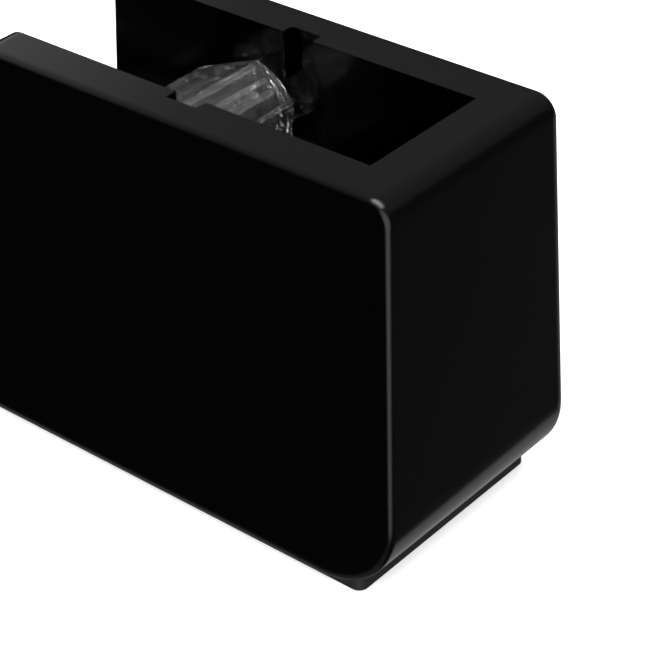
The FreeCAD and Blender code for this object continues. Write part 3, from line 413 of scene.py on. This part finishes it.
def drawerPanel(sizes):
    # a flat face with a finger notch in its top edge, thickened backwards and rounded
    low, high = [Vector(corner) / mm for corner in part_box("drawer_front")]
    centre = ((low.x + high.x) / 2, low.y, (low.z + high.z) / 2)
    piece = startPlane("drawerPanel", centre, (high.x - low.x, 1, high.z - low.z), (radians(90), 0, 0))
    half = sizes["notchWidth"] / 2
    foot = high.z - sizes["notchDepth"]
    for spot, across in (((-half, 0, 0), (1, 0, 0)), ((half, 0, 0), (1, 0, 0)), ((0, 0, foot), (0, 0, 1))):
        bpy.ops.mesh.select_all(action="SELECT")
        bpy.ops.mesh.bisect(plane_co=Vector(spot) * mm, plane_no=across)
    pick(piece, lambda place: abs(place.x) < half + close and place.z > foot - close)
    bpy.ops.mesh.delete(type="ONLY_FACE")
    bpy.ops.mesh.select_all(action="SELECT")
    bpy.ops.mesh.delete_loose()
    bpy.ops.mesh.select_all(action="SELECT")
    bpy.ops.mesh.dissolve_limited(angle_limit=radians(sizes["flat"]))
    pick(piece, lambda place: abs(abs(place.x) - half) < close and abs(place.z - foot) < close)
    bpy.ops.mesh.bevel(offset=sizes["notchRadius"] * mm, segments=sizes["notchSteps"], affect="VERTICES")
    pick(piece, lambda place: place.z > high.z - close or place.z < low.z + close)
    bpy.ops.mesh.bevel(offset=sizes["cornerRadius"] * mm, segments=sizes["cornerSteps"], affect="VERTICES")
    bpy.ops.object.mode_set(mode="OBJECT")
    applied(piece, "SOLIDIFY", {"thickness": (high.y - low.y) * mm, "offset": -1})
    applied(piece, "BEVEL", {"width": sizes["edgeRadius"] * mm, "segments": sizes["edgeSteps"],
                             "limit_method": "ANGLE", "angle_limit": radians(sizes["square"])})
    bpy.ops.object.shade_smooth_by_angle(angle=radians(sizes["sharp"]))
    applied(piece, "WEIGHTED_NORMAL", {"keep_sharp": True})
    return piece


piece = drawerPanel(panel)
piece.data.materials.append(glossBlack)
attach(piece, "drawer")
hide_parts("drawer_front")
print("drawer's front made")


# The camera, in metres, degrees and millimetres of lens

view = {
    "place": (0.250231, 0.272034, 0.259432),
    "turn": (56.018, 2.6594, 130.4483),  # about X, Y and Z
    "lens": 125.65,
    "sensorWidth": 36,
    "nearest": 0.01,
}
bpy.ops.object.camera_add(location=view["place"], rotation=[radians(angle) for angle in view["turn"]])
camera = bpy.context.object
camera.data.lens = view["lens"]
camera.data.sensor_width = view["sensorWidth"]
camera.data.clip_start = view["nearest"]
bpy.context.scene.camera = camera
bpy.context.scene.view_settings.view_transform = "Standard"
print("camera set")


# The floor

floorSize = 8  # metres
bpy.ops.mesh.primitive_plane_add(size=floorSize)
floor = bpy.context.object
floor.name = "paleFloor"
# uncoated paper, pressed flat: pale and dull, with a faint fibre
paper, tree, shader, place = startMaterial("paleMattPaper", {"Roughness": 0.9, "Specular IOR Level": 0.1})
fibre = addNode(tree, "ShaderNodeTexNoise", {"Scale": 1000 / 1.2, "Detail": 3.0}, {"Vector": place})
tone = addNode(tree, "ShaderNodeMix",
               {"data_type": "RGBA", "A": linear("#F2F2F1"), "B": linear("#F6F6F5")},
               {"Factor": fibre.outputs["Fac"]})
join(tree, shader, {"Base Color": tone.outputs["Result"]})
floor.data.materials.append(paper)
floor.visible_glossy = False  # a polished side shows the dark room, not the bright paper
print("floor made")


# The room is what a polished black surface shows: soft-edged cards in a dim tent. Matt surfaces
# are lit by an even pale room instead, which keeps the shadow on the floor light, and what is
# seen through clear plastic is brighter, as a lamp behind it would make it.

studio = {
    "towardsCamera": (0.7313, 0.682, 0),
    "towardsGlow": (-0.707, 0.707, 0),
    "evenRoom": 1.05,
    "throughClear": 3.7,
    "backdrop": 1.0,
}
# A card is one or more ramps, multiplied: what it is measured along, where the ramp starts and
# ends, the brightness before and after it, and the form of the ramp.
cards = {
    "ceiling": [("up", 0.0, 0.6, 0.01, 0.16, "SMOOTHSTEP")],
    "skylight": [("up", 0.86, 0.95, 0.0, 2.6, "SMOOTHSTEP")],
    "cardByCamera": [("towardsCamera", 0.66, 0.83, 0.0, 1.4, "SMOOTHSTEP"),
                     ("up", -0.2, 0.3, 1.0, 0.9, "LINEAR")],
    "lowStripBehind": [("towardsCamera", -0.23, -0.31, 0.0, 0.33, "SMOOTHSTEP"),
                       ("up", -0.1, -0.4, 0.0, 1.0, "SMOOTHSTEP"),
                       ("towardsGlow", -0.4, 0.05, 0.45, 1.0, "SMOOTHSTEP")],
    "frontCard": [("back", -0.58, -0.76, 0.0, 0.66, "SMOOTHSTEP"),
                  ("up", 0.1, 0.3, 0.0, 1.0, "LINEAR")],
    "tableGlow": [("up", -0.62, -0.74, 0.0, 0.14, "SMOOTHSTEP"),
                  ("towardsGlow", 0.1, -0.2, 0.0, 1.0, "SMOOTHSTEP")],
    "sideGlow": [("towardsGlow", 0.2, 0.8, 0.0, 0.045, "SMOOTHSTEP")],
}

world = bpy.data.worlds.new("softStudio")
bpy.context.scene.world = world
world.use_nodes = True
world.cycles.sampling_method = "NONE"  # each ray asks for its own kind of room
room = world.node_tree
direction = addNode(room, "ShaderNodeTexCoord").outputs["Generated"]
parts = addNode(room, "ShaderNodeSeparateXYZ", links={"Vector": direction})
measures = {"up": parts.outputs["Z"], "back": parts.outputs["Y"]}
for name in ("towardsCamera", "towardsGlow"):
    towards = addNode(room, "ShaderNodeVectorMath", {"operation": "DOT_PRODUCT", 1: studio[name]},
                      {0: direction})
    measures[name] = towards.outputs["Value"]

brightest = None
for ramps in cards.values():
    card = None
    for along, start, end, before, after, form in ramps:
        ramp = addNode(room, "ShaderNodeMapRange",
                       {"interpolation_type": form, "From Min": start, "From Max": end,
                        "To Min": before, "To Max": after},
                       {"Value": measures[along]}).outputs["Result"]
        if card is None:
            card = ramp
        else:
            card = addNode(room, "ShaderNodeMath", {"operation": "MULTIPLY"},
                           {0: card, 1: ramp}).outputs["Value"]
    if brightest is None:
        brightest = card
    else:
        brightest = addNode(room, "ShaderNodeMath", {"operation": "MAXIMUM"},
                            {0: brightest, 1: card}).outputs["Value"]

ray = addNode(room, "ShaderNodeLightPath")
lamplit = addNode(room, "ShaderNodeMath", {"operation": "MULTIPLY", 1: studio["throughClear"]},
                  {0: brightest})
glass = addNode(room, "ShaderNodeMix", {"data_type": "FLOAT"},
                {"Factor": ray.outputs["Is Transmission Ray"], "A": brightest, "B": lamplit.outputs["Value"]})
matt = addNode(room, "ShaderNodeMix", {"data_type": "FLOAT", "B": studio["evenRoom"]},
               {"Factor": ray.outputs["Is Diffuse Ray"], "A": glass.outputs["Result"]})
seen = addNode(room, "ShaderNodeMix", {"data_type": "FLOAT", "B": studio["backdrop"]},
               {"Factor": ray.outputs["Is Camera Ray"], "A": matt.outputs["Result"]})
background = room.nodes["Background"]
background.inputs["Color"].default_value = linear("#FFFFFF")
join(room, background, {"Strength": seen.outputs["Result"]})
print("room made, with", len(cards), "cards")


# Two square softboxes, aimed at the middle of the floor

softboxes = [
    # name, place, size, watts
    ("topSoftbox", (0.0, 0.1, 1.3), 1.2, 13),
    ("floorFill", (0.9, 0.9, 1.0), 0.9, 34),  # lights the floor alone
]
floorOnly = bpy.data.collections.new("floorOnly")
floorOnly.objects.link(floor)
for name, place, size, watts in softboxes:
    bpy.ops.object.light_add(type="AREA", location=place)
    lamp = bpy.context.object
    lamp.name = name
    lamp.data.shape = "SQUARE"
    lamp.data.size = size
    lamp.data.energy = watts
    lamp.rotation_euler = (-Vector(place)).to_track_quat("-Z", "Y").to_euler()
    lamp.visible_camera = False
    if name == "floorFill":
        lamp.light_linking.receiver_collection = floorOnly
print("softboxes set")
